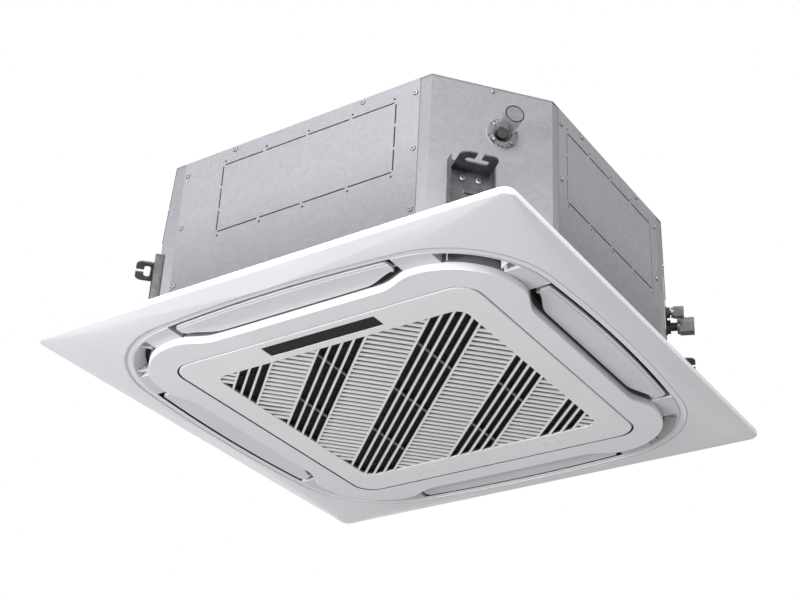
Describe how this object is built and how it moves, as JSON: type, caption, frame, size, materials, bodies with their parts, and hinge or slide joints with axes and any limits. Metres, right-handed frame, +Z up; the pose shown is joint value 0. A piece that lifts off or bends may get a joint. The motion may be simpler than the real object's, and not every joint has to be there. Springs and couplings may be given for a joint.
{
  "type": "ceiling cassette air conditioner",
  "caption": "Square recessed ceiling cassette with hinged slatted intake grille, swinging louvres on every side, turbo fan, wrapped coil, drain pump and slotted hanger brackets.",
  "frame": {"origin": "centre of the panel, in the plane of the ceiling's underside, where the panel's rim seats", "axes": "+Z up into the ceiling void; -Y towards the grille's display strip and hinge; +X towards the pipe side; the drain leaves at the +X -Y corner"},
  "size_m": [0.95, 0.95, 0.3405],
  "materials": {
    "galvanised_steel": "satin galvanised sheet",
    "screw_steel": "zinc plated",
    "bracket_steel": "darkened zinc plated",
    "clear_plastic": "smoky clear",
    "black_rubber": "matt",
    "copper": "drawn copper",
    "flare_nut": "grey protective plastic over the nut",
    "white_foam": "expanded polystyrene",
    "grey_foam": "expanded polystyrene, grey",
    "aluminium_fin": "bare fin stock",
    "light_plastic": "moulded",
    "motor_housing": "satin",
    "dark_plastic": "moulded",
    "white_panel": "fine satin ABS",
    "display_black": "smoked gloss"
  },
  "bodies": {
    "unit": {"casing_top_plate": "galvanised_steel", "casing_front": "galvanised_steel", "casing_right": "galvanised_steel", "casing_rear": "galvanised_steel", "casing_left": "galvanised_steel", "corner_drain": "galvanised_steel", "corner_pipe": "galvanised_steel", "corner_back": "galvanised_steel", "corner_left": "galvanised_steel", "casing_screws": "screw_steel", "hanger_drain": "bracket_steel", "hanger_pipe": "bracket_steel", "hanger_back": "bracket_steel", "hanger_left": "bracket_steel", "hanger_screws": "screw_steel", "drain_spigot": "clear_plastic", "drain_gasket": "black_rubber", "drain_screws": "screw_steel", "pipe_plate": "galvanised_steel", "pipe_seal": "black_rubber", "gas_pipe": "copper", "liquid_pipe": "copper", "gas_nut": "flare_nut", "liquid_nut": "flare_nut", "insulation": "white_foam", "drain_pan": "grey_foam", "coil_fins": "aluminium_fin", "coil_end_plates": "galvanised_steel", "coil_bends": "copper", "bell_mouth": "light_plastic", "fan_motor": "motor_housing", "motor_feet": "black_rubber", "drain_pump": "light_plastic", "pump_hose": "black_rubber", "float_stem": "light_plastic", "control_box": "galvanised_steel", "control_cover": "galvanised_steel", "panel_frame": "white_panel", "panel_seal": "black_rubber", "panel_screws": "screw_steel", "intake_frame": "white_panel", "cover_drain": "white_panel", "cover_pipe": "white_panel", "cover_back": "white_panel", "cover_left": "white_panel", "louvre_motors": "light_plastic"},
    "louvre_front": {"louvre_front": "white_panel"},
    "louvre_right": {"louvre_right": "white_panel"},
    "louvre_rear": {"louvre_rear": "white_panel"},
    "louvre_left": {"louvre_left": "white_panel"},
    "door": {"grille_door": "white_panel", "hinge_pins": "screw_steel", "filter": "dark_plastic", "display_module": "display_black"},
    "latch_left": {"latch_left": "white_panel"},
    "latch_right": {"latch_right": "white_panel"},
    "fan": {"turbo_fan": "dark_plastic", "fan_shaft": "screw_steel"},
    "impeller": {"pump_impeller": "dark_plastic"},
    "float": {"float_ring": "light_plastic"}
  },
  "joints": [
    {"name": "louvre_front_swing", "type": "hinge", "parent": "unit", "child": "louvre_front", "pos_m": [0, -0.379, -0.0085], "axis": [1, 0, 0], "range_deg": [0, 50]},
    {"name": "louvre_right_swing", "type": "hinge", "parent": "unit", "child": "louvre_right", "pos_m": [0.379, 0, -0.0085], "axis": [0, 1, 0], "range_deg": [0, 50]},
    {"name": "louvre_rear_swing", "type": "hinge", "parent": "unit", "child": "louvre_rear", "pos_m": [0, 0.379, -0.0085], "axis": [-1, 0, 0], "range_deg": [0, 50]},
    {"name": "louvre_left_swing", "type": "hinge", "parent": "unit", "child": "louvre_left", "pos_m": [-0.379, 0, -0.0085], "axis": [0, -1, 0], "range_deg": [0, 50]},
    {"name": "grille_door_swing", "type": "hinge", "parent": "unit", "child": "door", "pos_m": [0, -0.287, -0.0275], "axis": [-1, 0, 0], "range_deg": [0, 85]},
    {"name": "latch_left_push", "type": "slide", "parent": "door", "child": "latch_left", "axis": [0, 0, 1], "range_m": [0, 0.004], "stiffness_N_per_m": 300},
    {"name": "latch_right_push", "type": "slide", "parent": "door", "child": "latch_right", "axis": [0, 0, 1], "range_m": [0, 0.004], "stiffness_N_per_m": 300},
    {"name": "fan_spin", "type": "hinge", "parent": "unit", "child": "fan", "pos_m": [0, 0, 0.2], "axis": [0, 0, 1], "continuous": true},
    {"name": "impeller_spin", "type": "hinge", "parent": "unit", "child": "impeller", "pos_m": [0.34902, -0.30605, 0.05], "axis": [0, 0, 1], "continuous": true},
    {"name": "float_rise", "type": "slide", "parent": "unit", "child": "float", "axis": [0, 0, 1], "range_m": [0, 0.012]}
  ]
}
